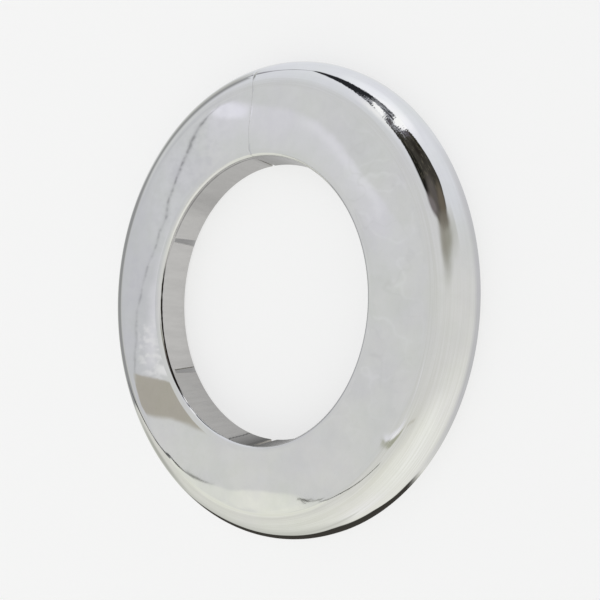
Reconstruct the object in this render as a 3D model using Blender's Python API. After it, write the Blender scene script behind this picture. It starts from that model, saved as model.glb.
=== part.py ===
# Pipe rosette: a ring pressed from one thin sheet and chromed.
# A flat face carries a tight lip round the bore and a rounded shoulder outside.
# The lip turns back into a collar, which slits part into spring tabs that lean on the pipe.
# One radial split lets the ring open sideways over a pipe that is already in place.
# The ring lies face up: Z is the bore axis, the rim rests on z = 0, and +X is twelve o'clock.

import math

import bmesh
import bpy

MM = 0.001

# Driving sizes
PIPE_DIAMETER = 50.0 * MM
OUTER_DIAMETER = 86.0 * MM
HEIGHT = 6.2 * MM
SHEET = 0.5 * MM

# Collar and lip, measured on the side that shows
GRIP_CLEARANCE = 0.1 * MM
WALL_CLEARANCE = 0.4 * MM
LIP_RADIUS = 0.72 * MM
TAB_LEAN = math.radians(7.5)

# Upright rim, from the wall to where the shoulder starts to round
RIM_HEIGHT = 0.8 * MM

# Slits between the tabs, the split taking the place of the first
TAB_COUNT = 6
SLIT_ROOT_DEPTH = 1.05 * MM
SLIT_ROOT_WIDTH = 0.85 * MM
SLIT_MOUTH_WIDTH = 1.4 * MM

# Split through the whole ring, its ends nearly closed, and a little wider at the tab tips
SPLIT_BEARING = math.radians(4.0)
SPLIT_WIDTH = 0.1 * MM
SPLIT_MOUTH_WIDTH = 0.7 * MM

# How far a cutter reaches past what it cuts
OVERRUN = 1.0 * MM

# Facets
RING_STEPS = 96
LIP_STEPS = 5
LIP_BACK_STEPS = 3
SHOULDER_STEPS = 12
SHOULDER_BACK_STEPS = 10
SMOOTH_ANGLE = math.radians(35.0)

# Worked out from the sizes above
OUTER_RADIUS = OUTER_DIAMETER / 2
SHOULDER_RADIUS = HEIGHT - RIM_HEIGHT
COLLAR_DEPTH = HEIGHT - WALL_CLEARANCE
TIP_HEIGHT = WALL_CLEARANCE
TIP_RADIUS = PIPE_DIAMETER / 2 + GRIP_CLEARANCE
LIP_END_DEPTH = LIP_RADIUS * (1 - math.sin(TAB_LEAN))
BORE_RADIUS = TIP_RADIUS + (COLLAR_DEPTH - LIP_END_DEPTH) * math.tan(TAB_LEAN)
LIP_CENTRE_RADIUS = BORE_RADIUS + LIP_RADIUS * math.cos(TAB_LEAN)


def clear_scene():
    for thing in list(bpy.data.objects):
        bpy.data.objects.remove(thing, do_unlink=True)


def chrome_material():
    material = bpy.data.materials.new("bright_chrome")
    material.use_nodes = True
    shader = material.node_tree.nodes["Principled BSDF"]
    shader.inputs["Base Color"].default_value = (0.80, 0.80, 0.81, 1.0)
    shader.inputs["Metallic"].default_value = 1.0
    shader.inputs["Roughness"].default_value = 0.05
    material.diffuse_color = (0.80, 0.80, 0.81, 1.0)
    return material


def arc(centre, radius, start, end, steps):
    """Points on an arc of the section; an angle of zero points up and grows towards the bore."""
    points = []
    for step in range(steps + 1):
        angle = start + (end - start) * step / steps
        points.append((centre[0] - radius * math.sin(angle), centre[1] + radius * math.cos(angle)))
    return points


def showing_side():
    """The section's polished side as (radius, height), from the tab tip over the face to the rim."""
    quarter = math.pi / 2
    lip_centre = (LIP_CENTRE_RADIUS, HEIGHT - LIP_RADIUS)
    shoulder_centre = (OUTER_RADIUS - SHOULDER_RADIUS, HEIGHT - SHOULDER_RADIUS)
    points = [(TIP_RADIUS, TIP_HEIGHT)]
    points += arc(lip_centre, LIP_RADIUS, quarter - TAB_LEAN, 0.0, LIP_STEPS)
    points += arc(shoulder_centre, SHOULDER_RADIUS, 0.0, -quarter, SHOULDER_STEPS)
    points.append((OUTER_RADIUS, 0.0))
    return points


def back_side():
    """The same section one sheet thickness further in, from the rim back to the tab tip."""
    quarter = math.pi / 2
    lip_centre = (LIP_CENTRE_RADIUS, HEIGHT - LIP_RADIUS)
    shoulder_centre = (OUTER_RADIUS - SHOULDER_RADIUS, HEIGHT - SHOULDER_RADIUS)
    points = [(OUTER_RADIUS - SHEET, 0.0)]
    points += arc(shoulder_centre, SHOULDER_RADIUS - SHEET, -quarter, 0.0, SHOULDER_BACK_STEPS)
    points += arc(lip_centre, LIP_RADIUS - SHEET, 0.0, quarter - TAB_LEAN, LIP_BACK_STEPS)
    points.append((TIP_RADIUS + SHEET / math.cos(TAB_LEAN), TIP_HEIGHT))
    return points


def turned_shell():
    """The whole ring, turned from its section about the bore axis."""
    mesh = bmesh.new()
    outline = showing_side() + back_side()
    corners = [mesh.verts.new((radius, 0.0, height)) for radius, height in outline]
    for first, second in zip(corners, corners[1:] + corners[:1]):
        mesh.edges.new((first, second))
    bmesh.ops.spin(
        mesh,
        geom=mesh.verts[:] + mesh.edges[:],
        cent=(0.0, 0.0, 0.0),
        axis=(0.0, 0.0, 1.0),
        angle=math.tau,
        steps=RING_STEPS,
        use_merge=True,
    )
    bmesh.ops.recalc_face_normals(mesh, faces=mesh.faces[:])
    return mesh


def mesh_object(name, mesh):
    data = bpy.data.meshes.new(name)
    mesh.to_mesh(data)
    mesh.free()
    thing = bpy.data.objects.new(name, data)
    bpy.context.scene.collection.objects.link(thing)
    return thing


def prism(name, outline, travel, bearing):
    """A cutter: a flat outline pushed along travel, then turned to its bearing."""
    mesh = bmesh.new()
    face = mesh.faces.new([mesh.verts.new(point) for point in outline])
    pushed = bmesh.ops.extrude_face_region(mesh, geom=[face])
    moved = [item for item in pushed["geom"] if isinstance(item, bmesh.types.BMVert)]
    bmesh.ops.translate(mesh, verts=moved, vec=travel)
    bmesh.ops.recalc_face_normals(mesh, faces=mesh.faces[:])
    cutter = mesh_object(name, mesh)
    cutter.rotation_euler = (0.0, 0.0, bearing)
    cutter.hide_render = True
    cutter.display_type = "WIRE"
    return cutter


def collar_slit(name, bearing, root_width, mouth_width):
    """A slit in the collar alone, from behind the lip out past the tab tips."""
    inside = TIP_RADIUS - OVERRUN
    reach = BORE_RADIUS + SHEET + OVERRUN - inside
    root = HEIGHT - SLIT_ROOT_DEPTH
    mouth = TIP_HEIGHT
    widening = (mouth_width - root_width) / (root - mouth)
    end_width = mouth_width + widening * OVERRUN
    outline = [
        (inside, -root_width / 2, root),
        (inside, root_width / 2, root),
        (inside, end_width / 2, mouth - OVERRUN),
        (inside, -end_width / 2, mouth - OVERRUN),
    ]
    return prism(name, outline, (reach, 0.0, 0.0), bearing)


def ring_split(name):
    """The narrow radial cut through the collar, the lip, the face and the shoulder."""
    inside = TIP_RADIUS - OVERRUN
    reach = OUTER_RADIUS + OVERRUN - inside
    outline = [
        (inside, -SPLIT_WIDTH / 2, -OVERRUN),
        (inside, SPLIT_WIDTH / 2, -OVERRUN),
        (inside, SPLIT_WIDTH / 2, HEIGHT + OVERRUN),
        (inside, -SPLIT_WIDTH / 2, HEIGHT + OVERRUN),
    ]
    return prism(name, outline, (reach, 0.0, 0.0), SPLIT_BEARING)


def cutters():
    """Every cut in the ring: the split, its wider mouth in the collar, and the slits."""
    cuts = [ring_split("split_cutter")]
    cuts.append(collar_slit("split_mouth_cutter", SPLIT_BEARING, SPLIT_WIDTH, SPLIT_MOUTH_WIDTH))
    for index in range(1, TAB_COUNT):
        bearing = SPLIT_BEARING + math.tau * index / TAB_COUNT
        cuts.append(collar_slit("slit_cutter_%d" % index, bearing, SLIT_ROOT_WIDTH, SLIT_MOUTH_WIDTH))
    return cuts


def rosette_ring():
    """The one solid of the object."""
    ring = mesh_object("rosette_ring", turned_shell())
    for cutter in cutters():
        cut = ring.modifiers.new(cutter.name, "BOOLEAN")
        cut.operation = "DIFFERENCE"
        cut.solver = "EXACT"
        cut.object = cutter
    ring.data.materials.append(chrome_material())
    ring.data.shade_smooth()
    ring.data.set_sharp_from_angle(angle=SMOOTH_ANGLE)
    return ring


def main():
    clear_scene()
    rosette_ring()


main()
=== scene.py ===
import math

import bmesh
import bpy
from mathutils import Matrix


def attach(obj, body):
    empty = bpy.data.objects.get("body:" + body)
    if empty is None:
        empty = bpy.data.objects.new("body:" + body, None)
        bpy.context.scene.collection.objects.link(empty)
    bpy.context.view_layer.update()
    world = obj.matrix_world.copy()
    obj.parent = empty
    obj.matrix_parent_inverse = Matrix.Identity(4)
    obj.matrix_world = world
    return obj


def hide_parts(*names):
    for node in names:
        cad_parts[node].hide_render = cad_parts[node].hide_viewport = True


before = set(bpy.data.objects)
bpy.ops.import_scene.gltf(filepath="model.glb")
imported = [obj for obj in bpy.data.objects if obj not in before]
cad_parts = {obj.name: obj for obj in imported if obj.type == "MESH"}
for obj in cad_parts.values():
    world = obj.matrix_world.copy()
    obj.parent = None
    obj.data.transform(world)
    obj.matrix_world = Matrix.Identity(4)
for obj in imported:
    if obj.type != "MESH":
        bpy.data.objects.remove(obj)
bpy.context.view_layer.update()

MM = 0.001

# The ring's own sizes, the same as the pressed solid's
OUTER_RADIUS = 43.0 * MM
HEIGHT = 6.2 * MM
SHEET = 0.5 * MM
RIM_HEIGHT = 0.8 * MM
SHOULDER_RADIUS = HEIGHT - RIM_HEIGHT
LIP_RADIUS = 0.72 * MM
TAB_LEAN = math.radians(7.5)
TIP_RADIUS = 25.1 * MM
TIP_HEIGHT = 0.4 * MM
BORE_RADIUS = TIP_RADIUS + (HEIGHT - LIP_RADIUS * (1 - math.sin(TAB_LEAN)) - TIP_HEIGHT) * math.tan(TAB_LEAN)
LIP_CENTRE_RADIUS = BORE_RADIUS + LIP_RADIUS * math.cos(TAB_LEAN)

SPLIT_BEARING = math.radians(4.0)
SPLIT_WIDTH = 0.01 * MM
SPLIT_MOUTH_WIDTH = 0.7 * MM
TAB_COUNT = 6
SLIT_ROOT_HEIGHT = HEIGHT - 1.05 * MM
SLIT_MOUTH_GAIN = 0.27 * MM     # how much further each side of a slit stands off at its mouth

# A slit is two columns of faces wide at its root, so one column is half of 0.85 mm there
TAB_COLUMNS = 63
TURN_COLUMNS = TAB_COUNT * TAB_COLUMNS
COLUMN = math.tau / TURN_COLUMNS
LIP_ROWS = 16
SHOULDER_ROWS = 36
FACE_RADII = [radius * MM for radius in (27.3, 28.6, 30.0, 31.4, 32.8, 34.2, 35.6, 36.9)]

# How far the sheared split strays from its straight line, in mm, by its distance from the bore axis
SPLIT_PATH = [(25.0, 0.0), (25.9, 0.0), (26.5, 0.25), (27.3, 0.7), (31.4, 0.72), (33.2, 0.3),
              (34.7, 0.05), (36.9, -0.2), (38.4, -0.2), (40.5, 0.25), (43.0, 0.3)]
SPLIT_REACH = 9                 # columns that give way on each side of it

EDGE_ROUND = 0.02 * MM

# Where the finish changes, by the distance from the bore axis
COLLAR_ENDS = (BORE_RADIUS + 0.2 * MM, BORE_RADIUS + 0.02 * MM)
POLISHING_STARTS = (36.6 * MM, 38.6 * MM)
BORDER_STARTS = (37.5 * MM, 38.0 * MM)
BORDER_ENDS = (39.8 * MM, 39.2 * MM)
PITS_START = (38.0 * MM, 39.0 * MM)

# The metal's own brightness, and the painted shade in the lip's crease
WHITE = (1.0, 1.0, 1.0, 1.0)
BLACK = (0.0, 0.0, 0.0, 1.0)
COOL_PLATE = (0.685, 0.68, 0.70, 1.0)
WARM_PLATE = (0.685, 0.693, 0.68, 1.0)
PLATE_VEINS = (0.715, 0.715, 0.72, 1.0)
WORN_PLATE = (0.63, 0.63, 0.615, 1.0)
COLLAR_TINT = (1.0, 0.985, 0.965)
# Painted shade: the dark line in the lip's crease
CREASE_PAINTED_SHADE = (0.02, 0.018, 0.015, 1.0)
DARK_BACK = (0.38, 0.36, 0.33, 1.0)
PALE_BACK = (0.56, 0.55, 0.53, 1.0)
TENT_SHARE = 0.70               # how much of the tent's light the chrome gives back

# The floor glows for the camera and the metal, so that it meets the backdrop's shade
BACKDROP = (0.896, 0.896, 0.896, 1.0)
FLOOR_COLOUR = (0.30, 0.3013, 0.309, 1.0)
OPEN_FLOOR_GLOW = 0.653
# The floor glows less under the ring: a painted shadow under it
PAINTED_SHADOW_GLOW = 0.21
COVERED_ENDS = (40.0 * MM, 42.5 * MM)
FLOOR_SIZE = 6.0

CAMERA_PLACE = (0.0, -0.11446, 0.12046)
CAMERA_TURN = (-0.8837, 41.9166, -86.0319)      # degrees
CAMERA_LENS = 54.04
CAMERA_SHIFT = 0.1              # the photograph's middle lies above the lens's axis

# By bearing in degrees, growing from twelve towards nine o'clock
# The collar's tone is painted shade and reflection, set tab by tab and darkest towards the bottom
COLLAR_PAINTED_SHADE = [(-180, 0.13), (-150, 0.12), (-120, 0.16), (-40, 0.28), (-12, 0.33), (0, 0.33), (4, 0.36), (7, 0.48),
               (36, 0.46), (43, 0.42), (48, 0.47), (52, 0.53), (62, 0.55), (66, 0.56), (110, 0.55), (121, 0.53),
               (126, 0.45), (160, 0.44), (168, 0.40), (170.5, 0.24), (174, 0.2), (180, 0.18)]
# Painted shade in the collar's grazing reflection: its specular tint, lowest towards the bottom
COLLAR_PAINTED_GLANCE = [(-180, 0.56), (-150, 0.56), (-60, 0.84), (0, 0.84), (60, 0.95), (172, 0.95), (180, 0.56)]
PITTING = [(-180, 0.0), (-54, 0.0), (-48, 0.8), (-42, 1.0), (-30, 1.0), (-25, 0.4), (-20, 0.0), (180, 0.0)]
# Width, strength and depth of the painted dark line in the lip's crease
CREASE_WIDTH = [(-180, 0.12), (62, 0.12), (70, 0.15), (97, 0.19), (110, 0.14), (134, 0.12), (180, 0.12)]
POLISHING_WEAR = [(-180, 0.5), (-165, 0.8), (-120, 0.8), (-95, 0.5), (-80, 0.2), (150, 0.15), (165, 0.3), (180, 0.5)]
CREASE = [(-180, 0.0), (2, 0.0), (8, 0.55), (58, 0.45), (66, 0.1), (74, 0.2), (82, 1.0), (132, 1.0), (137, 0.0),
          (180, 0.0)]
CREASE_DEPTH = [(-180, 0.82), (66, 0.82), (74, 0.56), (96, 0.56), (110, 0.5), (120, 0.42), (130, 0.36), (180, 0.36)]


# Small helpers for the bench

def deselect_all():
    if bpy.context.object and bpy.context.object.mode != "OBJECT":
        bpy.ops.object.mode_set(mode="OBJECT")
    bpy.ops.object.select_all(action="DESELECT")


def pick(*things):
    deselect_all()
    for thing in things:
        thing.select_set(True)
    bpy.context.view_layer.objects.active = things[0]


def finish_modifiers(thing):
    pick(thing)
    for modifier in list(thing.modifiers):
        bpy.ops.object.modifier_apply(modifier=modifier.name)


def turn_from(bearing, place):
    """The angle round the bore axis from a bearing to a place, between minus and plus half a turn."""
    angle = math.atan2(place.y, place.x) - bearing
    return math.remainder(angle, math.tau)


def along(points, value):
    """Reads a value off a chain of (place, value) points."""
    if value <= points[0][0]:
        return points[0][1]
    for (start, low), (end, high) in zip(points, points[1:]):
        if value <= end:
            return low + (high - low) * (value - start) / (end - start)
    return points[-1][1]


def choose(ring, kind, test):
    """In edit mode, selects the corners or faces whose place passes the test."""
    mesh = bmesh.from_edit_mesh(ring.data)
    bpy.ops.mesh.select_mode(type="VERT" if kind == "corners" else "FACE")
    bpy.ops.mesh.select_all(action="DESELECT")
    if kind == "corners":
        for corner in mesh.verts:
            corner.select_set(test(corner.co))
    else:
        for face in mesh.faces:
            face.select_set(test(face.calc_center_median()))
    bmesh.update_edit_mesh(ring.data)


# The pressed ring

def lip_section():
    """The lip's showing side as (radius, height), from the collar up on to the face."""
    points = []
    start = math.pi / 2 - TAB_LEAN
    for row in range(LIP_ROWS + 1):
        angle = start * (1 - row / LIP_ROWS)
        radius = LIP_CENTRE_RADIUS - LIP_RADIUS * math.sin(angle)
        points.append((radius, HEIGHT - LIP_RADIUS + LIP_RADIUS * math.cos(angle)))
    return points


def shoulder_section():
    """The shoulder's showing side, from the face round to the upright rim."""
    points = []
    for row in range(SHOULDER_ROWS + 1):
        angle = math.pi / 2 * row / SHOULDER_ROWS
        radius = OUTER_RADIUS - SHOULDER_RADIUS + SHOULDER_RADIUS * math.sin(angle)
        points.append((radius, HEIGHT - SHOULDER_RADIUS + SHOULDER_RADIUS * math.cos(angle)))
    return points


def ring_section():
    """The whole showing side, from the collar's mouth over the face to the foot of the rim."""
    root_radius = TIP_RADIUS + (SLIT_ROOT_HEIGHT - TIP_HEIGHT) * math.tan(TAB_LEAN)
    points = [(TIP_RADIUS, TIP_HEIGHT), (root_radius, SLIT_ROOT_HEIGHT)]
    points += lip_section()
    points += [(radius, HEIGHT) for radius in FACE_RADII]
    points += shoulder_section()
    points.append((OUTER_RADIUS, 0.0))
    return points


def draw_section():
    """One corner drawn out point by point along the section, at the split."""
    deselect_all()
    bpy.ops.mesh.primitive_plane_add(size=1.0, location=(0, 0, 0))
    ring = bpy.context.object
    ring.name = "ring"
    bpy.ops.object.mode_set(mode="EDIT")
    bpy.ops.mesh.select_mode(type="VERT")
    bpy.ops.mesh.select_all(action="SELECT")
    bpy.ops.mesh.merge(type="CENTER")
    section = ring_section()
    here = (0.0, 0.0)
    for radius, height in section:
        out = radius - here[0]
        step = (out * math.cos(SPLIT_BEARING), out * math.sin(SPLIT_BEARING), height - here[1])
        if here == (0.0, 0.0):
            bpy.ops.transform.translate(value=step)
        else:
            bpy.ops.mesh.extrude_vertices_move(TRANSFORM_OT_translate={"value": step})
        here = (radius, height)
    return ring


def spin_section(ring):
    """The section spun once round the bore axis, left open at the split."""
    bpy.ops.mesh.select_all(action="SELECT")
    bpy.ops.mesh.spin(steps=TURN_COLUMNS, angle=math.tau, use_auto_merge=False,
                      center=(0, 0, 0), axis=(0, 0, 1))
    bpy.ops.mesh.select_all(action="SELECT")
    bpy.ops.mesh.normals_make_consistent(inside=False)
    bpy.ops.object.mode_set(mode="OBJECT")
    highest = max(ring.data.polygons, key=lambda face: face.center.z)
    if highest.normal.z < 0:
        bpy.ops.object.mode_set(mode="EDIT")
        bpy.ops.mesh.flip_normals()
        bpy.ops.object.mode_set(mode="OBJECT")


def cut_slits(ring):
    """Takes out the collar between the tabs and spreads each slit towards its mouth."""
    bearings = [SPLIT_BEARING + math.tau * index / TAB_COUNT for index in range(1, TAB_COUNT)]
    pick(ring)
    bpy.ops.object.mode_set(mode="EDIT")
    for bearing in bearings:
        choose(ring, "faces", lambda place: (
            place.z < SLIT_ROOT_HEIGHT and place.x ** 2 + place.y ** 2 < BORE_RADIUS ** 2
            and abs(turn_from(bearing, place)) < COLUMN))
        bpy.ops.mesh.delete(type="FACE")
    for bearing in bearings:
        for side in (-1, 1):
            for column, share in ((1, 1.0), (2, 0.6), (3, 0.25)):
                edge = bearing + side * column * COLUMN
                choose(ring, "corners", lambda place: (
                    place.z < TIP_HEIGHT + 0.1 * MM and place.x ** 2 + place.y ** 2 < BORE_RADIUS ** 2
                    and abs(turn_from(edge, place)) < COLUMN / 4))
                push = side * share * SLIT_MOUTH_GAIN
                bpy.ops.transform.translate(value=(-push * math.sin(edge), push * math.cos(edge), 0.0))
    bpy.ops.object.mode_set(mode="OBJECT")


def part_split(ring):
    """Parts the ring's two ends and lets the cut between them stray as the shears did."""
    ends = {}
    for face in ring.data.polygons:
        side = math.copysign(1.0, turn_from(SPLIT_BEARING, face.center))
        for index in face.vertices:
            if abs(turn_from(SPLIT_BEARING, ring.data.vertices[index].co)) < COLUMN / 4:
                ends[index] = side
    for corner in ring.data.vertices:
        turn = turn_from(SPLIT_BEARING, corner.co)
        share = 1.0 - abs(turn) / (SPLIT_REACH * COLUMN)
        if share <= 0:
            continue
        radius = math.hypot(corner.co.x, corner.co.y)
        share = share * share * (3 - 2 * share)
        shift = along(SPLIT_PATH, radius / MM) * MM * share
        depth = max(0.0, (SLIT_ROOT_HEIGHT - corner.co.z) / (SLIT_ROOT_HEIGHT - TIP_HEIGHT))
        mouth = 0.0 if radius > BORE_RADIUS else (SPLIT_MOUTH_WIDTH - SPLIT_WIDTH) / 2 * depth
        side = ends.get(corner.index, math.copysign(1.0, turn))
        shift += side * mouth * share
        if corner.index in ends:
            shift += side * SPLIT_WIDTH / 2
        bearing = SPLIT_BEARING + turn + shift / radius
        corner.co.x = radius * math.cos(bearing)
        corner.co.y = radius * math.sin(bearing)


def give_thickness(ring):
    """The sheet's thickness goes behind the showing side; the sheared edges are dull and broken a little."""
    sheet = ring.modifiers.new("sheet", "SOLIDIFY")
    sheet.thickness = SHEET
    sheet.offset = -1.0
    sheet.use_even_offset = True
    sheet.material_offset = 1
    sheet.material_offset_rim = 1
    edges = ring.modifiers.new("broken_edges", "BEVEL")
    edges.width = EDGE_ROUND
    edges.segments = 3
    edges.limit_method = "ANGLE"
    edges.angle_limit = math.radians(50.0)
    edges.use_clamp_overlap = False
    finish_modifiers(ring)
    bpy.ops.object.shade_smooth_by_angle(angle=math.radians(35.0))
    even = ring.modifiers.new("even_sheen", "WEIGHTED_NORMAL")
    even.mode = "FACE_AREA"
    even.weight = 50
    even.keep_sharp = True
    finish_modifiers(ring)


# Small helpers for node trees

def connect(tree, value, socket):
    """Gives a socket a number, a colour or another node's output."""
    if isinstance(value, bpy.types.NodeSocket):
        tree.links.new(value, socket)
    else:
        socket.default_value = value


def work_out(tree, operation, *values):
    node = tree.nodes.new("ShaderNodeMath")
    node.operation = operation
    for value, socket in zip(values, node.inputs):
        connect(tree, value, socket)
    return node.outputs[0]


def rise(tree, value, low, high, bottom=0.0, top=1.0):
    """Goes softly from bottom to top while the value goes from low to high, which may run down."""
    node = tree.nodes.new("ShaderNodeMapRange")
    node.interpolation_type = "SMOOTHSTEP"
    connect(tree, value, node.inputs["Value"])
    node.inputs["From Min"].default_value = low
    node.inputs["From Max"].default_value = high
    node.inputs["To Min"].default_value = bottom
    node.inputs["To Max"].default_value = top
    return node.outputs["Result"]


def noise(tree, place, scale, detail=2.0, roughness=0.5):
    node = tree.nodes.new("ShaderNodeTexNoise")
    connect(tree, place, node.inputs["Vector"])
    node.inputs["Scale"].default_value = scale
    node.inputs["Detail"].default_value = detail
    node.inputs["Roughness"].default_value = roughness
    return node.outputs["Fac"]


def join(tree, x, y, z=0.0):
    node = tree.nodes.new("ShaderNodeCombineXYZ")
    for value, socket in zip((x, y, z), node.inputs):
        connect(tree, value, socket)
    return node.outputs["Vector"]


def split_up(tree, place):
    node = tree.nodes.new("ShaderNodeSeparateXYZ")
    tree.links.new(place, node.inputs["Vector"])
    return node.outputs["X"], node.outputs["Y"], node.outputs["Z"]


def from_axis(tree, x, y):
    """The distance from the bore axis."""
    return work_out(tree, "SQRT", work_out(tree, "ADD", work_out(tree, "POWER", x, 2.0),
                                           work_out(tree, "POWER", y, 2.0)))


def relief(tree, height, depth, under=None, strength=1.0):
    """Fine relief of a depth, laid over the relief under it."""
    node = tree.nodes.new("ShaderNodeBump")
    node.inputs["Strength"].default_value = strength
    node.inputs["Distance"].default_value = depth
    connect(tree, height, node.inputs["Height"])
    if under is not None:
        connect(tree, under, node.inputs["Normal"])
    return node.outputs["Normal"]


def blend(tree, amount, under, over):
    """Colours mixed: under where the amount is 0, over where it is 1."""
    node = tree.nodes.new("ShaderNodeMix")
    node.data_type = "RGBA"
    connect(tree, amount, node.inputs["Factor"])
    connect(tree, under, node.inputs[6])
    connect(tree, over, node.inputs[7])
    return node.outputs[2]


def follow(tree, value, points):
    """A chain of (place, value) points as a node, straight between them."""
    start, end = points[0][0], points[-1][0]
    low = min(level for place, level in points)
    high = max(level for place, level in points)
    span = max(high - low, 0.001)
    node = tree.nodes.new("ShaderNodeFloatCurve")
    chain = node.mapping.curves[0]
    places = [((place - start) / (end - start), (level - low) / span) for place, level in points]
    chain.points[0].location = places[0]
    chain.points[1].location = places[-1]
    for place in places[1:-1]:
        chain.points.new(*place)
    for point in chain.points:
        point.handle_type = "VECTOR"
    node.mapping.update()
    scaled = work_out(tree, "MULTIPLY_ADD", value, 1.0 / (end - start), -start / (end - start))
    tree.links.new(work_out(tree, "MINIMUM", work_out(tree, "MAXIMUM", scaled, 0.0), 1.0), node.inputs["Value"])
    return work_out(tree, "MULTIPLY_ADD", node.outputs["Value"], span, low)


# Finishes

def chrome():
    """Mirror chrome over rolled sheet: cloudy tint, polishing lines round the ring, a rougher collar whose tone is
    painted shade and reflection, and a painted dark line in the lip's crease.
    """
    material = bpy.data.materials.new("bright_chrome_plate")
    material.use_nodes = True
    tree = material.node_tree
    shader = tree.nodes["Principled BSDF"]
    place = tree.nodes.new("ShaderNodeTexCoord").outputs["Object"]
    x, y, z = split_up(tree, place)
    radius = from_axis(tree, x, y)
    bearing = work_out(tree, "DEGREES", work_out(tree, "ARCTAN2", y, x))
    collar = rise(tree, radius, *COLLAR_ENDS)

    lines = polishing_lines(tree, x, y, z, radius)
    worn = work_out(tree, "MULTIPLY", follow(tree, bearing, POLISHING_WEAR),
                    rise(tree, radius, *POLISHING_STARTS, bottom=0.06))
    border = work_out(tree, "MULTIPLY", rise(tree, radius, *BORDER_STARTS, top=0.6),
                      rise(tree, radius, *BORDER_ENDS))
    worn = work_out(tree, "MAXIMUM", worn, border)
    worn_lines = work_out(tree, "MULTIPLY", lines, worn)

    clouds = noise(tree, place, scale=120.0, detail=3.0, roughness=0.55)
    plate = blend(tree, rise(tree, clouds, 0.3, 0.7), COOL_PLATE, WARM_PLATE)
    veins = noise(tree, place, scale=330.0, detail=4.0, roughness=0.6)
    plate = blend(tree, rise(tree, veins, 0.35, 0.65, top=0.6), plate, PLATE_VEINS)
    plate = blend(tree, work_out(tree, "MULTIPLY", rise(tree, lines, 0.35, 0.65), worn), plate, WORN_PLATE)
    # The collar's tone: painted shade and reflection
    plate = blend(tree, collar, plate, collar_painted_shade(tree, x, y, z, bearing))
    # A painted dark line in the lip's crease, standing in for its dark reflection
    plate = blend(tree, crease_painted_shade(tree, place, z, radius, bearing), plate, CREASE_PAINTED_SHADE)
    connect(tree, plate, shader.inputs["Base Color"])
    shader.inputs["Metallic"].default_value = 1.0
    # Specular tint lowered towards the bottom of the collar: painted shade in its grazing reflection
    painted_glance = blend(tree, follow(tree, bearing, COLLAR_PAINTED_GLANCE), BLACK, WHITE)
    connect(tree, blend(tree, collar, WHITE, painted_glance), shader.inputs["Specular Tint"])

    sheen = work_out(tree, "MULTIPLY_ADD", worn_lines, 0.05, 0.022)
    connect(tree, work_out(tree, "MULTIPLY_ADD", collar, 0.2, sheen), shader.inputs["Roughness"])

    waves = relief(tree, noise(tree, place, scale=150.0, detail=1.5, roughness=0.4), 0.004 * MM)
    scratches = relief(tree, worn_lines, 0.0006 * MM, waves)
    pitted = work_out(tree, "MULTIPLY", rise(tree, radius, *PITS_START), follow(tree, bearing, PITTING))
    grain = work_out(tree, "MULTIPLY", noise(tree, place, scale=3200.0, detail=1.0), pitted)
    connect(tree, relief(tree, grain, 0.0065 * MM, scratches), shader.inputs["Normal"])
    return material


def polishing_lines(tree, x, y, z, radius):
    """Fine lines that follow the ring round, as the polishing wheel left them."""
    broad = join(tree, work_out(tree, "MULTIPLY", radius, 3200.0), work_out(tree, "MULTIPLY", z, 3200.0),
                 work_out(tree, "MULTIPLY", work_out(tree, "ADD", x, y), 45.0))
    fine = join(tree, work_out(tree, "MULTIPLY", radius, 9000.0), work_out(tree, "MULTIPLY", z, 9000.0),
                work_out(tree, "MULTIPLY", work_out(tree, "SUBTRACT", x, y), 80.0))
    both = work_out(tree, "ADD", noise(tree, broad, 1.0, 2.0), noise(tree, fine, 1.0, 1.0))
    return work_out(tree, "MULTIPLY", both, 0.5)


def collar_painted_shade(tree, x, y, z, bearing):
    """The collar's plate: its tone is painted shade and reflection that differs from tab to tab and is darkest towards
    the bottom, with drawing marks and a thin wavering dark line down it.
    """
    tone = follow(tree, bearing, COLLAR_PAINTED_SHADE)
    drawn = join(tree, work_out(tree, "MULTIPLY", x, 900.0), work_out(tree, "MULTIPLY", y, 900.0),
                 work_out(tree, "MULTIPLY", z, 150.0))
    marks = noise(tree, drawn, scale=1.0, detail=3.0, roughness=0.6)
    tone = work_out(tree, "MULTIPLY", tone, rise(tree, marks, 0.3, 0.7, 0.965, 1.035))
    # Darker along a thin wavering line down the collar, near bearing 168 degrees
    wander = noise(tree, join(tree, 0.0, 0.0, z), scale=1400.0, detail=1.0)
    wavering_line = work_out(tree, "MULTIPLY_ADD", wander, 3.0, 168.3)
    away = work_out(tree, "ABSOLUTE", work_out(tree, "SUBTRACT", bearing, wavering_line))
    tone = work_out(tree, "MULTIPLY", tone, rise(tree, away, 0.25, 0.6, 0.3, 1.0))
    colour = tree.nodes.new("ShaderNodeCombineColor")
    for socket, share in zip(colour.inputs, COLLAR_TINT):
        connect(tree, work_out(tree, "MULTIPLY", tone, share), socket)
    return colour.outputs["Color"]


def crease_painted_shade(tree, place, z, radius, bearing):
    """Painted shade: a thin dark line round the lip's crease, standing in for its dark reflection, deep in it at the
    top and shallow from nine o'clock on.
    """
    depth = work_out(tree, "MULTIPLY", work_out(tree, "SUBTRACT", HEIGHT, z), 1 / MM)
    middle = follow(tree, bearing, CREASE_DEPTH)
    half = follow(tree, bearing, CREASE_WIDTH)
    away = work_out(tree, "DIVIDE", work_out(tree, "ABSOLUTE", work_out(tree, "SUBTRACT", depth, middle)), half)
    uneven = noise(tree, place, scale=900.0)
    line = rise(tree, work_out(tree, "ADD", away, uneven), 1.7, 1.2)
    line = work_out(tree, "MULTIPLY", line, rise(tree, radius, LIP_CENTRE_RADIUS, LIP_CENTRE_RADIUS - 0.1 * MM))
    return work_out(tree, "MULTIPLY", line, follow(tree, bearing, CREASE))


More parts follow.
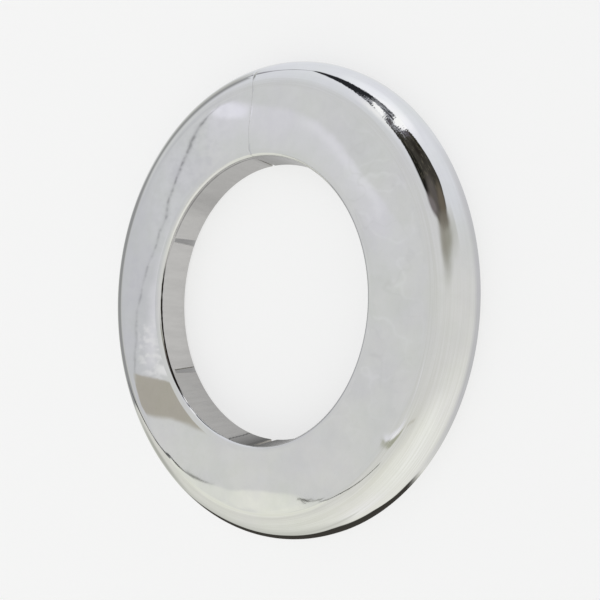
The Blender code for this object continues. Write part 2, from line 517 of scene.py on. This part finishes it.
def dull_back():
    """The back of the sheet, which the polishing wheel never reached."""
    material = bpy.data.materials.new("dull_plated_back")
    material.use_nodes = True
    tree = material.node_tree
    shader = tree.nodes["Principled BSDF"]
    place = tree.nodes.new("ShaderNodeTexCoord").outputs["Object"]
    stains = noise(tree, place, scale=220.0, detail=4.0, roughness=0.6)
    connect(tree, blend(tree, stains, DARK_BACK, PALE_BACK), shader.inputs["Base Color"])
    shader.inputs["Metallic"].default_value = 1.0
    connect(tree, rise(tree, stains, 0.2, 0.8, 0.42, 0.62), shader.inputs["Roughness"])
    grain = relief(tree, noise(tree, place, scale=2500.0, detail=3.0), 0.01 * MM, strength=0.5)
    connect(tree, grain, shader.inputs["Normal"])
    return material


# The light tent
# Its cloth is mapped by two angles in degrees: lift, up towards twelve o'clock, and swing, round that
# axis from straight out of the wall, growing towards three o'clock.

def cloth(red, green, blue):
    """The cloth's brightness that the chrome shows as this screen colour."""
    levels = []
    for value in (red, green, blue):
        share = value / 255
        linear = share / 12.92 if share <= 0.04045 else ((share + 0.055) / 1.055) ** 2.4
        levels.append(linear / TENT_SHARE)
    return (*levels, 1.0)


class Tent:
    """The cloth of one part of the tent as it is built up, layer over layer."""

    def __init__(self, tree, direction, chart, folds):
        """The folds, (scale, degrees) pairs, shift the chart a little to and fro, so that no edge runs quite true."""
        self.tree = tree
        self.direction = direction
        for scale, degrees in folds:
            fold = tree.nodes.new("ShaderNodeTexNoise")
            connect(tree, direction, fold.inputs["Vector"])
            fold.inputs["Scale"].default_value = scale
            fold.inputs["Detail"].default_value = 1.0
            centred = tree.nodes.new("ShaderNodeVectorMath")
            centred.operation = "MULTIPLY_ADD"
            connect(tree, fold.outputs["Color"], centred.inputs[0])
            centred.inputs[1].default_value = (2 * degrees, 2 * degrees, 0.0)
            centred.inputs[2].default_value = (-degrees, -degrees, 0.0)
            moved = tree.nodes.new("ShaderNodeVectorMath")
            moved.operation = "ADD"
            connect(tree, chart, moved.inputs[0])
            connect(tree, centred.outputs["Vector"], moved.inputs[1])
            chart = moved.outputs["Vector"]
        self.chart = chart
        self.swing, self.lift = split_up(tree, chart)[:2]
        self.colour = None

    def lay(self, amount, colour):
        """Another shade laid over the cloth so far."""
        self.colour = blend(self.tree, amount, self.colour, colour)

    def ground(self, stops):
        """The cloth's plain shade by its lift."""
        self.colour = stops[0][1]
        for (low, under), (high, over) in zip(stops, stops[1:]):
            self.lay(rise(self.tree, self.lift, low, high), over)

    def oval(self, centre, half, turn=0.0, soft=1.0, strength=1.0):
        """How far a place lies inside a soft oval."""
        mapping = self.tree.nodes.new("ShaderNodeMapping")
        mapping.vector_type = "TEXTURE"
        mapping.inputs["Location"].default_value = (*centre, 0.0)
        mapping.inputs["Rotation"].default_value = (0.0, 0.0, math.radians(turn))
        mapping.inputs["Scale"].default_value = (*half, 1.0)
        connect(self.tree, self.chart, mapping.inputs["Vector"])
        length = self.tree.nodes.new("ShaderNodeVectorMath")
        length.operation = "LENGTH"
        connect(self.tree, mapping.outputs["Vector"], length.inputs[0])
        return rise(self.tree, length.outputs["Value"], 1 + soft, 1 - soft, 0.0, strength)

    def patch(self, centre, half, colour, turn=0.0, soft=1.0, strength=1.0):
        """A soft oval of another shade."""
        self.lay(self.oval(centre, half, turn, soft, strength), colour)

    def specks(self, scale, low, high, where, colour, detail=2.0):
        """Flecks of another shade inside an oval, where the cloth's grain rises from low to high."""
        grain = noise(self.tree, self.direction, scale, detail, 0.6)
        self.lay(work_out(self.tree, "MULTIPLY", rise(self.tree, grain, low, high), where), colour)

    def veins(self, scale, width, where, colour, detail=2.0):
        """Thin winding lines inside an oval."""
        grain = noise(self.tree, self.direction, scale, detail, 0.6)
        away = work_out(self.tree, "ABSOLUTE", work_out(self.tree, "SUBTRACT", grain, 0.5))
        self.lay(work_out(self.tree, "MULTIPLY", rise(self.tree, away, width, 0.0), where), colour)

    def gap(self, lower, upper, colour, soft_lower=1.0, soft_upper=1.0, soft_ends=(0.5, 0.5), strength=1.0):
        """A shape between a lower and an upper edge, each a chain of (swing, lift) points."""
        tree = self.tree
        above = work_out(tree, "SUBTRACT", self.lift, follow(tree, self.swing, lower))
        below = work_out(tree, "SUBTRACT", follow(tree, self.swing, upper), self.lift)
        amount = work_out(tree, "MULTIPLY", rise(tree, above, -soft_lower, soft_lower),
                          rise(tree, below, -soft_upper, soft_upper))
        start, end = lower[0][0], lower[-1][0]
        window = work_out(tree, "MULTIPLY", rise(tree, self.swing, start - soft_ends[0], start + soft_ends[0]),
                          rise(tree, self.swing, end + soft_ends[1], end - soft_ends[1]))
        amount = work_out(tree, "MULTIPLY", work_out(tree, "MULTIPLY", amount, window), strength)
        self.lay(amount, colour)
        return amount

    def seam(self, points, half_width, colour, soft=0.15, upright=False, strength=1.0, fade=0.5):
        """A thin line along a chain of (swing, lift) points, or (lift, swing) where it stands upright."""
        tree = self.tree
        run, cross = (self.lift, self.swing) if upright else (self.swing, self.lift)
        away = work_out(tree, "ABSOLUTE", work_out(tree, "SUBTRACT", cross, follow(tree, run, points)))
        start, end = points[0][0], points[-1][0]
        window = work_out(tree, "MULTIPLY", rise(tree, run, start - fade, start + fade),
                          rise(tree, run, end + fade, end - fade))
        edge = follow(tree, run, half_width) if isinstance(half_width, list) else half_width
        inside = rise(tree, work_out(tree, "SUBTRACT", away, edge), soft, -soft)
        amount = work_out(tree, "MULTIPLY", work_out(tree, "MULTIPLY", inside, window), strength)
        self.lay(amount, colour)
        return amount


def hang_cloth(tent):
    """Pale cloth: cooler above, ivory below, a little darker on the left."""
    tent.ground([
        (-90, cloth(230, 230, 226)), (-70, cloth(226, 226, 219)), (-45, cloth(220, 220, 212)),
        (-22, cloth(206, 206, 201)), (0, cloth(197, 198, 197)), (22, cloth(199, 200, 201)),
        (45, cloth(210, 212, 216)), (66, cloth(217, 219, 223)), (84, cloth(233, 235, 239)),
    ])
    tent.patch((90, -50), (60, 22), cloth(231, 232, 226))
    tent.patch((120, -26), (38, 28), cloth(222, 222, 217))
    tent.patch((65, 0), (75, 22), cloth(206, 206, 203))
    tent.patch((-108, -45), (34, 42), cloth(185, 186, 179))
    tent.patch((-60, -55), (34, 20), cloth(212, 213, 206), strength=0.7)
    tent.patch((162, -2), (24, 36), cloth(184, 184, 186), soft=0.6)
    tent.patch((50, 81), (75, 10), cloth(243, 243, 246), soft=0.8)
    tent.patch((38, 21), (15, 9), cloth(148, 148, 138), turn=20, soft=0.8, strength=0.8)


def hang_left_curtain(tent):
    """The grey curtain at the far left, and the ivory cloth that starts below it."""
    tent.patch((-58, 5), (7, 16), cloth(190, 191, 194), soft=0.4)
    tent.patch((-101, 30), (14, 11), cloth(174, 175, 170), soft=0.5)
    tent.seam([(-14.2, -88), (42, -88)], [(-14.2, 19), (9, 19), (14, 13), (18, 10), (38, 9), (42, 6)],
              cloth(140, 141, 141), soft=8.0, upright=True, fade=0.5)
    tent.gap([(-90, -34), (-75, -34), (-50, -30), (-38, -26), (-20, -34)],
             [(-90, -14.4), (-80, -14.2), (-70, -13.9), (-55, -12.2), (-20, -26)],
             cloth(211, 211, 204), soft_lower=9.0, soft_upper=0.5, soft_ends=(10.0, 8.0), strength=0.8)
    tent.patch((-96, -22), (17, 6), cloth(166, 167, 160), soft=0.7)
    tent.gap([(-56, -24), (-47, -25), (-36, -24)],
             [(-56, -12.8), (-51, -10.6), (-49.9, -10.05), (-49.25, -10.6), (-48.3, -11.15), (-47.2, -11.62),
              (-46, -11.9), (-43.5, -11.9), (-41.7, -12.1), (-39.9, -12.4), (-38, -15), (-36, -17.5)],
             cloth(222, 223, 213), soft_lower=6.0, soft_upper=0.12, soft_ends=(2.0, 0.6))
    tent.seam([(-90, -11), (-80, -13), (-70, -13.7), (-60, -13.5), (-58.2, -13.25), (-53.2, -11.65), (-51, -10.6),
               (-49.9, -10.08), (-49.6, -10.44), (-49.25, -10.71), (-48.9, -10.93)],
              [(-90, 0.3), (-72, 0.6), (-60, 0.5), (-53, 0.5), (-51, 0.45), (-50.2, 0.25), (-49.8, 0.18),
               (-49.6, 0.2), (-49.3, 0.18), (-48.9, 0.14)],
              cloth(30, 30, 28), soft=0.05)
    tent.seam([(-49.3, -10.65), (-48.9, -10.92), (-48.3, -11.2), (-48, -11.32), (-47.55, -11.49), (-47.1, -11.63)],
              [(-49.3, 0.13), (-48.9, 0.12), (-48.5, 0.09), (-48, 0.08), (-47.1, 0.04)], cloth(84, 84, 74), soft=0.06,
              fade=0.4)
    tent.seam([(-40, -12.45), (-39.5, -13.3), (-37, -16.5), (-35, -18), (-30, -21.5), (-25, -24), (-17, -25.5)],
              [(-40, 0.08), (-39.5, 0.3), (-35, 0.5), (-17, 0.5)], cloth(92, 92, 86), soft=0.12)
    tent.seam([(-16, -18.5), (-13.4, -20.5), (-9.6, -19), (-6, -20)], 1.0, cloth(211, 211, 212), soft=1.6, upright=True,
              fade=1.5)
    tent.gap([(-36.4, -8.6), (-29.9, -12.6), (-22.4, -17.7), (-17.9, -20.4), (-13, -21), (-9, -20.6)],
             [(-36.4, -8.25), (-32.2, -10.4), (-25.6, -14.1), (-22.5, -15.6), (-20, -16.8), (-15.6, -18.6), (-9, -20)],
             cloth(162, 163, 148), soft_lower=0.35, soft_upper=0.12, soft_ends=(0.15, 4.0))
    tent.gap([(-36.2, -8.25), (-32.2, -10.4), (-25.6, -14.1), (-22.5, -15.6), (-16, -18.2)],
             [(-36.2, -7.95), (-33.1, -9.1), (-25, -12.9), (-21, -14.2), (-16, -15.5)],
             cloth(220, 220, 225), soft_lower=0.12, soft_upper=0.3, soft_ends=(0.15, 4.0))
    tent.seam([(-28, -12.6), (-25, -13.9), (-22, -15), (-17, -16.8)], 0.25, cloth(238, 238, 236), soft=0.35, fade=2.5)


def open_pool(tent):
    """The dark room that the lower part of the rim picks up."""
    tent.gap([(-180, -50), (-174, -60), (-160, -63), (-145, -67), (-138, -66), (-130, -60), (-118, -54), (-108, -42)],
             [(-180, -38), (-165, -28), (-150, -18), (-125, -18), (-114, -27), (-108, -34)],
             cloth(56, 54, 50), soft_lower=2.5, soft_upper=4.0, soft_ends=(0.1, 3.0))
    tent.gap([(172, -47), (180.5, -50)], [(172, -43), (180.5, -38)], cloth(56, 54, 50),
             soft_lower=2.5, soft_upper=4.0, soft_ends=(4.0, 0.1))
    tent.seam([(-5, -22), (10, -27)], 0.4, cloth(186, 184, 174), soft=0.6, fade=3)


def open_gaps(tent):
    """The dark gaps in the cloth where the room shows through."""
    tent.patch((-14, 48), (9, 6), cloth(233, 233, 233))
    tent.patch((62, 29), (30, 8), cloth(178, 178, 172), turn=10, soft=0.6, strength=0.65)
    tent.seam([(-97, 42), (-91, 45), (-86, 47.5), (-82, 53), (-77, 60.5)], 2.2, cloth(134, 133, 138), soft=2.2, fade=2)
    dark = tent.gap([(-78, 60.6), (-70, 61.2), (-60, 61.5), (-40, 60.5), (-30, 58.5), (-20, 55.5), (-14, 54.3)],
                    [(-78, 63), (-72, 66), (-65, 69.5), (-50, 73.5), (-35, 76), (-20, 77.5), (-14, 78)],
                    cloth(36, 37, 40), soft_lower=0.8, soft_upper=1.6, soft_ends=(2.0, 0.5))
    grey = tent.gap([(-14, 55), (-6, 55), (4, 64), (16, 72), (28, 75.2)],
                    [(-14, 78), (5, 78.6), (20, 76.8), (28, 75.8)],
                    cloth(116, 117, 120), soft_lower=0.8, soft_upper=1.0, soft_ends=(0.3, 1.0))
    tent.patch((1, 76), (7, 1.6), cloth(56, 57, 62), turn=-3, soft=0.5)
    arc = tent.seam([(-8, 48.5), (-5, 51.5), (0, 57.5), (5, 62.5), (10, 67), (15, 70.5), (20, 73), (28, 75.5)],
                    [(-8, 1.0), (-4, 2.6), (0, 4.6), (5, 4.8), (10, 4.3), (15, 3.2), (20, 1.8), (28, 0.6)],
                    cloth(80, 77, 81), soft=0.8)
    main = tent.gap([(-8.5, 47.4), (0, 43.5), (4, 38.5), (8, 33), (13, 29.5), (20, 27), (30, 26), (45, 29), (55, 33.5),
                     (65, 39), (70, 44), (75, 50)],
                    [(-8.5, 49), (0, 53), (5, 56), (10, 58.3), (15, 60), (25, 63), (40, 68.5), (45, 70), (50, 70),
                     (55, 69), (60, 67), (65, 64), (70, 60), (75, 52)],
                    cloth(56, 54, 49), soft_lower=1.6, soft_upper=1.0, soft_ends=(0.5, 2.0))
    tent.patch((8, 44), (10, 4), cloth(34, 34, 30), turn=-20, soft=0.5)
    tent.patch((13, 37.5), (8, 8), cloth(26, 26, 23), soft=0.4)
    tent.patch((33, 37), (14, 6.5), cloth(86, 82, 79), turn=28, soft=0.6)
    tent.patch((54, 39), (15, 6), cloth(98, 91, 80), turn=28, soft=0.5)
    tent.patch((38, 57), (11, 4), cloth(40, 37, 33), turn=10, soft=0.6)
    tent.patch((55, 64), (7, 3.5), cloth(34, 32, 24), soft=0.6)
    tent.patch((20, 29), (10, 3), cloth(112, 107, 106), turn=14, soft=0.5)
    tent.patch((46, 30), (17, 3.6), cloth(113, 108, 99), turn=14, soft=0.6)
    tent.patch((44, 23.5), (18, 4), cloth(148, 147, 137), turn=16, soft=0.8)
    tent.patch((32, 22), (10, 6), cloth(134, 130, 120), turn=35, soft=0.8, strength=0.45)
    tent.seam([(-5, 50), (5, 54.5), (15, 58.5), (25, 61.5), (40, 66.5)], 1.8, cloth(84, 81, 86), soft=1.2, fade=2)
    inside = dark
    for amount in (grey, arc, main):
        inside = work_out(tent.tree, "MAXIMUM", inside, amount)
    fleck = work_out(tent.tree, "MULTIPLY", inside, tent.oval((0, 62), (28, 12), 20, 0.3))
    tent.specks(19.0, 0.51, 0.57, fleck, cloth(168, 170, 176), 2.0)
    tent.specks(23.0, 0.54, 0.6, fleck, cloth(30, 30, 34), 2.0)
    streak = work_out(tent.tree, "MULTIPLY", main, tent.oval((32, 50), (34, 16), 20, 0.5, 0.7))
    tent.specks(24.0, 0.52, 0.68, streak, cloth(98, 94, 82), 2.0)
    tent.gap([(-14, 55.5), (-11, 53), (-8, 51.5), (-5, 54), (-3.5, 57), (-2.5, 60), (-1.2, 62.5)],
             [(-14, 64), (-12, 66.5), (-8, 66), (-4, 65), (-1.2, 63.5)], cloth(246, 246, 246), soft_lower=1.2,
             soft_upper=0.8)
    tent.gap([(5, 57.2), (10, 58.8), (15, 60.8), (25, 63.8), (40, 68.8), (50, 71)],
             [(5, 58.5), (9, 60.5), (11, 63.5), (14, 67), (18, 70), (24, 73), (35, 76), (50, 78)], cloth(246, 246, 246),
             soft_lower=0.8, soft_upper=0.8)


def fold_cloth(tent):
    """The folds and soft lights that the flat face picks up."""
    tent.specks(22.0, 0.35, 0.65, 0.35, cloth(190, 192, 192), 3.0)
    tent.specks(60.0, 0.45, 0.7, 0.22, cloth(205, 206, 207), 3.0)
    tent.patch((-54.5, 4), (4.5, 14), cloth(187, 188, 191), soft=0.25, strength=0.8)
    tent.gap([(-48.5, 9.5), (-46, 10), (-43, 10.2), (-41.5, 9.5), (-39.5, 7.5), (-37.5, 4.5), (-36, 2)],
             [(-48.5, 11.9), (-47.5, 12.3), (-46, 12.2), (-43, 11.9), (-41.5, 11.3), (-40.3, 10.4), (-38.8, 8.6),
              (-37.3, 6.9), (-36, 5.4)],
             cloth(206, 206, 210), soft_lower=1.8, soft_upper=0.25, soft_ends=(0.3, 2.0), strength=0.8)
    tent.patch((-47, 11.7), (1.1, 0.45), cloth(221, 221, 227), soft=0.5)
    tent.seam([(-42.6, 11.3), (-41.5, 10.9), (-40.5, 10.1), (-39.6, 9.2), (-38.8, 8.1), (-37.3, 6.4)],
              [(-42.6, 0.2), (-40, 0.4), (-37.3, 0.4)], cloth(216, 216, 220), soft=0.4, strength=0.6, fade=0.8)
    right = tent.oval((-38, 2), (3.6, 9), 0, 0.5, 0.32)
    tent.veins(21.0, 0.02, right, cloth(216, 217, 218), 1.5)
    tent.veins(17.0, 0.012, right, cloth(182, 183, 181), 2.0)
    tent.patch((-50.2, 7), (1.2, 4.5), cloth(197, 198, 200), turn=-12, soft=0.6)
    tent.seam([(-4.9, -52.15), (-3.5, -52.3), (-1, -52.2), (1.2, -51.8), (3.2, -51.2), (4.5, -50.85), (6.3, -50.4),
               (8, -49.9), (9.5, -49.3), (10.8, -48.7), (12, -47.9)],
              [(-4.9, 0.02), (1, 0.02), (4, 0.04), (7, 0.06), (10, 0.08), (12, 0.04)], cloth(118, 118, 120), soft=0.08,
              upright=True)
    tent.specks(130.0, 0.44, 0.6, tent.oval((-50.3, 4), (2.5, 8), -12, 0.4, 0.7), cloth(190, 191, 193), 2.0)
    tent.seam([(-4.4, -51.2), (0, -51.1), (4, -50.1)], 0.3, cloth(207, 207, 210), soft=0.35, upright=True)
    tent.patch((-50.4, -4.6), (0.5, 0.25), cloth(220, 220, 220), turn=-15, soft=0.5)
    tent.specks(160.0, 0.5, 0.6, tent.oval((-51.1, -3.4), (0.9, 2), 8, 0.4, 0.8), cloth(217, 217, 217), 2.0)
    tent.gap([(-52.2, -7), (-51.6, -7.35), (-51, -7.5), (-49.8, -7.55), (-48.9, -7.9), (-47.4, -8.42)],
             [(-52.2, -4.85), (-51, -5.1), (-49.9, -5.35), (-48.4, -7.6), (-47.4, -8.4)],
             cloth(164, 160, 150), soft_lower=0.2, soft_upper=0.06, soft_ends=(0.15, 0.3))
    tent.seam([(-41.35, -12.25), (-40.95, -12.27), (-40.75, -12.31), (-40.49, -12.36), (-40.19, -12.4), (-39.9, -12.45),
               (-39.72, -12.37)], [(-41.35, 0.04), (-40.95, 0.05), (-40.6, 0.03), (-40.3, 0.02), (-39.7, 0.05)],
              cloth(52, 52, 44), soft=0.03, fade=0.05)
    tent.seam([(-41.26, -12.3), (-41.04, -12.48), (-40.91, -12.55)], 0.04, cloth(70, 70, 62), soft=0.03, fade=0.05)
    tent.seam([(-40.85, -12.22), (-40.6, -12.2), (-40.4, -12.33)], 0.02, cloth(110, 110, 102), soft=0.03, fade=0.05)
    tent.seam([(-40.56, -12.48), (-40.3, -12.45), (-40, -12.49)], 0.025, cloth(110, 110, 102), soft=0.03, fade=0.05)
    tent.seam([(-12.36, -41.38), (-12.22, -41.43)], 0.04, cloth(120, 120, 112), soft=0.03, upright=True, fade=0.03)


def studio_world():
    """The light tent round the ring; the camera itself sees a plain pale backdrop instead."""
    world = bpy.data.worlds.new("light_tent")
    bpy.context.scene.world = world
    world.use_nodes = True
    tree = world.node_tree
    direction = tree.nodes.new("ShaderNodeTexCoord").outputs["Generated"]
    x, y, z = split_up(tree, direction)     # twelve o'clock, nine o'clock and out of the wall
    lift = work_out(tree, "DEGREES", work_out(tree, "ARCSINE", x))
    swing = work_out(tree, "DEGREES", work_out(tree, "ARCTAN2", work_out(tree, "MULTIPLY", y, -1.0), z))
    chart = join(tree, swing, lift)
    fine_folds = ((45.0, 0.15), (260.0, 0.05))
    # Each part covers a box of (middle, half width) in swing and in lift, and the first covers the rest
    parts = [
        (None, fine_folds, (hang_cloth, hang_left_curtain, open_pool)),
        (((-10, 95), (51, 39)), ((14.0, 0.8), (90.0, 0.35)), (hang_cloth, hang_left_curtain, open_gaps)),
        (((-45.3, 12), (-1, 16)), fine_folds, (hang_cloth, hang_left_curtain, fold_cloth)),
    ]
    light = None
    for place, folds, layers in parts:
        tent = Tent(tree, direction, chart, folds)
        for layer in layers:
            layer(tent)
        part = tree.nodes.new("ShaderNodeBackground")
        connect(tree, tent.colour, part.inputs["Color"])
        if place is None:
            light = part.outputs["Background"]
            continue
        inside = work_out(tree, "MULTIPLY", work_out(tree, "COMPARE", swing, *place[0]),
                          work_out(tree, "COMPARE", lift, *place[1]))
        choice = tree.nodes.new("ShaderNodeMixShader")
        connect(tree, inside, choice.inputs["Fac"])
        connect(tree, light, choice.inputs[1])
        connect(tree, part.outputs["Background"], choice.inputs[2])
        light = choice.outputs["Shader"]
    backdrop = tree.nodes["Background"]
    backdrop.inputs["Color"].default_value = BACKDROP
    choice = tree.nodes.new("ShaderNodeMixShader")
    connect(tree, tree.nodes.new("ShaderNodeLightPath").outputs["Is Camera Ray"], choice.inputs["Fac"])
    connect(tree, light, choice.inputs[1])
    connect(tree, backdrop.outputs["Background"], choice.inputs[2])
    connect(tree, choice.outputs["Shader"], tree.nodes["World Output"].inputs["Surface"])


def floor_paint(name, glow_under, glow_outside):
    """Plain pale paint, evened out for the camera and the metal but left in the ring's own shade; under the ring it
    glows less, a painted shadow.
    """
    material = bpy.data.materials.new(name)
    material.use_nodes = True
    tree = material.node_tree
    shader = tree.nodes["Principled BSDF"]
    shader.inputs["Base Color"].default_value = FLOOR_COLOUR
    shader.inputs["Roughness"].default_value = 0.9
    shader.inputs["Emission Color"].default_value = WHITE
    ray = tree.nodes.new("ShaderNodeLightPath")
    seen = work_out(tree, "MAXIMUM", ray.outputs["Is Camera Ray"],
                    work_out(tree, "MAXIMUM", ray.outputs["Is Glossy Ray"], ray.outputs["Is Transmission Ray"]))
    x, y = split_up(tree, tree.nodes.new("ShaderNodeTexCoord").outputs["Object"])[:2]
    # Less glow under the ring: a painted shadow
    amount = rise(tree, from_axis(tree, x, y), *COVERED_ENDS, glow_under, glow_outside)
    connect(tree, work_out(tree, "MULTIPLY", seen, amount), shader.inputs["Emission Strength"])
    return material


def pale_floor():
    """The floor, and a round of it in the bore, which the collar mirrors; the shoulder mirrors the tent."""
    deselect_all()
    bpy.ops.mesh.primitive_plane_add(size=FLOOR_SIZE, location=(0, 0, -0.05 * MM))
    floor = bpy.context.object
    floor.name = "floor"
    floor.visible_glossy = False
    floor.data.materials.append(floor_paint("pale_floor", PAINTED_SHADOW_GLOW, OPEN_FLOOR_GLOW))
    deselect_all()
    bpy.ops.mesh.primitive_circle_add(vertices=96, radius=TIP_RADIUS + 0.5 * MM, fill_type="NGON",
                                      location=(0, 0, -0.04 * MM))
    inner = bpy.context.object
    inner.name = "floor_in_bore"
    inner.data.materials.append(floor_paint("pale_floor_in_bore", OPEN_FLOOR_GLOW, OPEN_FLOOR_GLOW))


def place_camera():
    """The photograph's view, from the left of the bore axis and 45 degrees off it."""
    data = bpy.data.cameras.new("camera")
    camera = bpy.data.objects.new("camera", data)
    bpy.context.scene.collection.objects.link(camera)
    camera.location = CAMERA_PLACE
    camera.rotation_euler = [math.radians(angle) for angle in CAMERA_TURN]
    data.sensor_width = 36.0
    data.lens = CAMERA_LENS
    data.shift_y = CAMERA_SHIFT
    data.clip_start = 0.005
    data.clip_end = 20.0
    bpy.context.scene.camera = camera


def main():
    bpy.context.scene.view_settings.view_transform = "Standard"
    place_camera()
    ring = draw_section()
    spin_section(ring)
    cut_slits(ring)
    part_split(ring)
    ring.data.materials.append(chrome())
    ring.data.materials.append(dull_back())
    give_thickness(ring)
    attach(ring, "root")
    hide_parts("rosette_ring")
    pale_floor()
    studio_world()


main()
